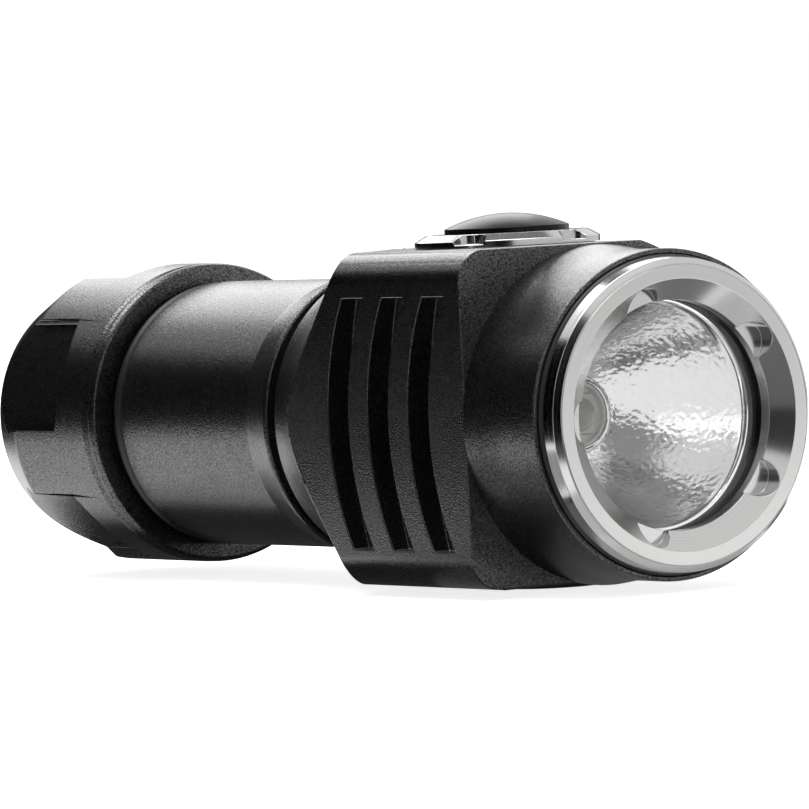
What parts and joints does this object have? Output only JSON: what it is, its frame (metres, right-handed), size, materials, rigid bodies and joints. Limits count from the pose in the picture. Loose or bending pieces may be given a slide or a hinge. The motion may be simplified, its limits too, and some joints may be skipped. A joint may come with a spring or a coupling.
{
  "type": "flashlight",
  "caption": "Short black aluminium firefighter flashlight with a square slotted head, a steel scalloped bezel, a side switch, a covered charging port and a screw-on tail cap.",
  "frame": {"origin": "centre of the flat tail face", "axes": "+X along the lamp's axis from the tail to the bezel, +Z out of the flat that carries the switch"},
  "size_m": [0.0815, 0.0252, 0.0282],
  "materials": {
    "black_anodised": "satin, bead-blasted black anodising",
    "polished_steel": "turned and polished",
    "spring_steel": "drawn wire",
    "plated_steel": "nickel plated",
    "brass": "satin",
    "black_rubber": "matt",
    "lens_glass": "clear, coated",
    "reflector_chrome": "vapour-plated, orange-peel texture",
    "white_plastic": "matt",
    "lamp_board": "white solder mask",
    "lamp_dome": "clear silicone over phosphor",
    "circuit_board": "solder mask",
    "chip_plastic": "moulded",
    "black_plastic": "gloss",
    "red_insulation": "satin",
    "black_insulation": "satin",
    "cell_wrap": "shrunk film"
  },
  "bodies": {
    "torch": {"tail_seal": "black_rubber", "battery_tube": "black_anodised", "head_seal": "black_rubber", "cell_can": "cell_wrap", "cell_terminal": "plated_steel", "cell_washer": "white_plastic", "head_body": "black_anodised", "bezel_ring": "polished_steel", "bezel_seal": "black_rubber", "lens": "lens_glass", "lens_gasket": "black_rubber", "reflector": "reflector_chrome", "led_collar": "white_plastic", "led_board": "lamp_board", "led_base": "white_plastic", "led_dome": "lamp_dome", "led_screws": "plated_steel", "led_wires": "red_insulation", "driver_ring": "brass", "driver_board": "circuit_board", "driver_post": "brass", "driver_inductor": "chip_plastic", "driver_chips": "chip_plastic", "switch_ring": "polished_steel", "switch_boot": "black_rubber", "switch_body": "chip_plastic", "switch_board": "circuit_board", "switch_screws": "plated_steel", "switch_wires": "black_insulation", "port_anchor": "black_rubber", "port_socket": "plated_steel", "port_tongue": "chip_plastic", "port_board": "circuit_board", "port_wires": "red_insulation"},
    "tail_contact": {"tail_plate": "brass", "tail_spring": "spring_steel"},
    "cap": {"tail_cap": "black_anodised"},
    "button": {"switch_button": "black_plastic", "switch_plunger": "white_plastic"},
    "cover": {"port_cover": "black_rubber"}
  },
  "joints": [
    {"name": "tail_travel", "type": "slide", "parent": "torch", "child": "tail_contact", "axis": [-1, 0, 0], "range_m": [0, 0.00601]},
    {"name": "tail_turn", "type": "hinge", "parent": "tail_contact", "child": "cap", "pos_m": [0, 0, 0], "axis": [-1, 0, 0], "range_deg": [0, 2160]},
    {"name": "button_press", "type": "slide", "parent": "torch", "child": "button", "axis": [0, 0, -1], "range_m": [0, 0.0006], "stiffness_N_per_m": 2000, "deforming": ["switch_boot"]},
    {"name": "cover_swing", "type": "hinge", "parent": "torch", "child": "cover", "pos_m": [0.06292, 0, -0.01265], "axis": [0, -1, 0], "range_deg": [0, 110]}
  ],
  "couplings": [
    {"joint": "tail_travel", "follows": "tail_turn", "m_per_rad": 0.00015915}
  ]
}
